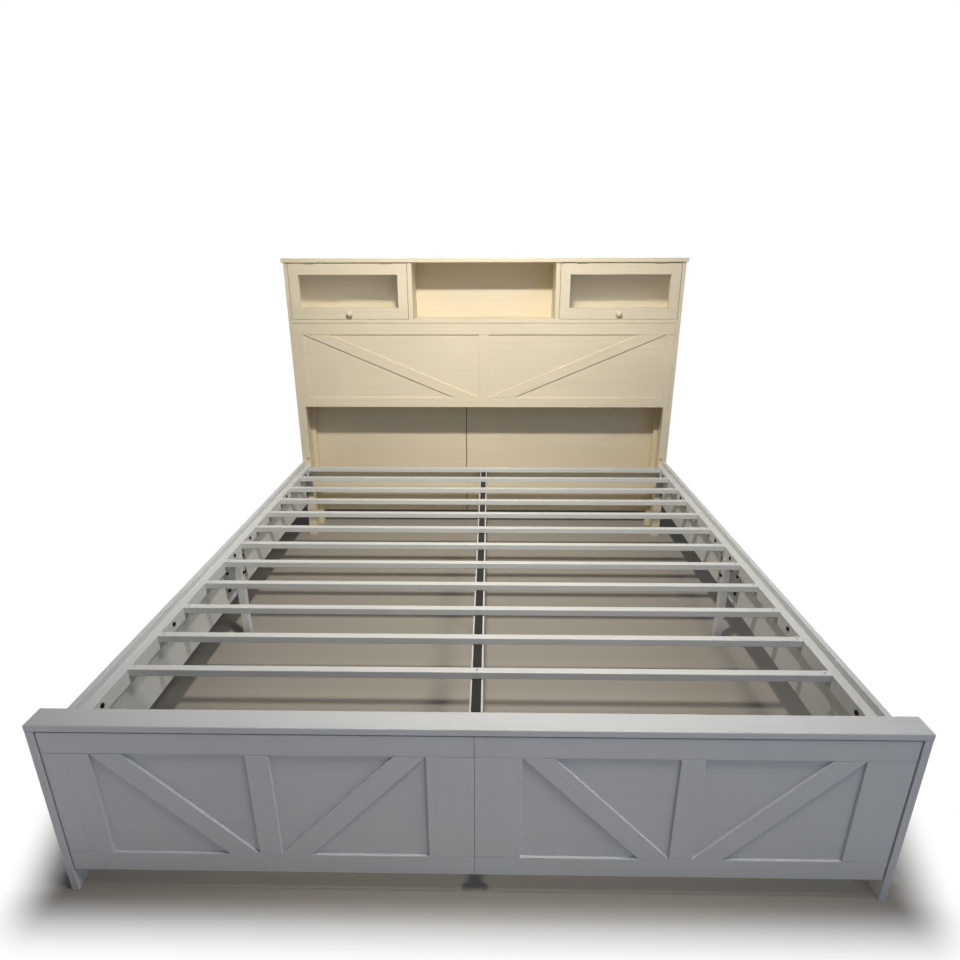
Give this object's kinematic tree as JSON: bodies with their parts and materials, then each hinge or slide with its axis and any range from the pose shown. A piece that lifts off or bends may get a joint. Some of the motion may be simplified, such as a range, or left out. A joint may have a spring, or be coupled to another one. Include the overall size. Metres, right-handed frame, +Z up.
{
  "type": "bed with storage headboard",
  "caption": "Panelled bed with a cabinet headboard, glazed flip-up doors on gas stays, jointed side rails and square steel slats.",
  "frame": {"origin": "on the floor under the middle of the bed's outer box", "axes": "+X to the right seen from the foot, +Y from the foot to the headboard, +Z up"},
  "size_m": [2.001, 2.316, 1.484],
  "materials": {
    "cream_paint": "cream paint over fine wood grain, satin",
    "white_paint": "white paint over fine wood grain, satin",
    "white_steel": "white powder coat",
    "zinc_steel": "zinc plated",
    "nickel_steel": "nickel plated",
    "black_steel": "black, satin",
    "bright_rod": "polished",
    "black_tape": "matt foam tape",
    "black_plastic": "moulded",
    "cream_plastic": "moulded",
    "cream_metal": "cream enamel, gloss",
    "glass": "clear float glass"
  },
  "bodies": {
    "bed": {"head_side_left": "cream_paint", "head_side_right": "cream_paint", "head_top_board": "cream_paint", "cabinet_floor": "cream_paint", "cabinet_dividers": "cream_paint", "cabinet_back": "cream_paint", "cable_grommet": "cream_plastic", "head_panel_board": "cream_paint", "head_panel_trim": "cream_paint", "head_posts": "cream_paint", "head_cross_rail": "cream_paint", "back_panel_left": "cream_paint", "back_panel_right": "cream_paint", "back_seam_batten": "cream_paint", "cabinet_hinge_leaves": "nickel_steel", "hinge_pins": "nickel_steel", "stay_cabinet_brackets": "zinc_steel", "foot_side_left": "white_paint", "foot_side_right": "white_paint", "foot_cap": "white_paint", "foot_panel_left": "white_paint", "foot_panel_right": "white_paint", "foot_trim_left": "white_paint", "foot_trim_right": "white_paint", "foot_posts": "white_paint", "foot_cross_rail": "white_paint", "rail_left_foot": "white_paint", "rail_left_head": "white_paint", "rail_right_foot": "white_paint", "rail_right_head": "white_paint", "rail_ledges": "white_paint", "corner_brackets": "zinc_steel", "rail_joint_plates": "zinc_steel", "mid_legs": "white_paint", "centre_beam": "white_paint", "beam_tape": "black_tape", "beam_hangers": "zinc_steel", "beam_legs": "white_steel", "leg_feet": "black_plastic", "slats": "white_steel", "slat_brackets": "zinc_steel", "deck_screws": "zinc_steel", "rail_bolts": "black_steel", "mid_leg_bolts": "black_steel"},
    "door_left": {"door_left_frame": "cream_paint", "door_left_glass": "glass", "door_left_bead": "cream_paint", "door_left_knob": "cream_metal", "door_left_hinge_leaves": "nickel_steel", "door_left_stay_bracket": "zinc_steel"},
    "left_stay_tube": {"stay_left_cylinder": "black_steel"},
    "left_stay_piston": {"stay_left_rod": "bright_rod"},
    "door_right": {"door_right_frame": "cream_paint", "door_right_glass": "glass", "door_right_bead": "cream_paint", "door_right_knob": "cream_metal", "door_right_hinge_leaves": "nickel_steel", "door_right_stay_bracket": "zinc_steel"},
    "right_stay_tube": {"stay_right_cylinder": "black_steel"},
    "right_stay_piston": {"stay_right_rod": "bright_rod"}
  },
  "joints": [
    {"name": "left_door_hinge", "type": "hinge", "parent": "bed", "child": "door_left", "pos_m": [-0.677, 0.9562, 1.4612], "axis": [-1, 0, 0], "range_deg": [0, 80]},
    {"name": "left_stay_tube_pivot", "type": "hinge", "parent": "bed", "child": "left_stay_tube", "pos_m": [-0.3945, 1.09786, 1.4352], "axis": [-1, 0, 0], "range_deg": [0, 40]},
    {"name": "left_stay_piston_pivot", "type": "hinge", "parent": "door_left", "child": "left_stay_piston", "pos_m": [-0.3945, 0.99, 1.3212], "axis": [-1, 0, 0], "range_deg": [-40, 0]},
    {"name": "right_door_hinge", "type": "hinge", "parent": "bed", "child": "door_right", "pos_m": [0.677, 0.9562, 1.4612], "axis": [-1, 0, 0], "range_deg": [0, 80]},
    {"name": "right_stay_tube_pivot", "type": "hinge", "parent": "bed", "child": "right_stay_tube", "pos_m": [0.3945, 1.09786, 1.4352], "axis": [-1, 0, 0], "range_deg": [0, 40]},
    {"name": "right_stay_piston_pivot", "type": "hinge", "parent": "door_right", "child": "right_stay_piston", "pos_m": [0.3945, 0.99, 1.3212], "axis": [-1, 0, 0], "range_deg": [-40, 0]}
  ],
  "couplings": [
    {"joint": "left_stay_tube_pivot", "follows": "left_door_hinge", "ratio": 0.5},
    {"joint": "left_stay_piston_pivot", "follows": "left_door_hinge", "ratio": -0.5},
    {"joint": "right_stay_tube_pivot", "follows": "right_door_hinge", "ratio": 0.5},
    {"joint": "right_stay_piston_pivot", "follows": "right_door_hinge", "ratio": -0.5}
  ]
}
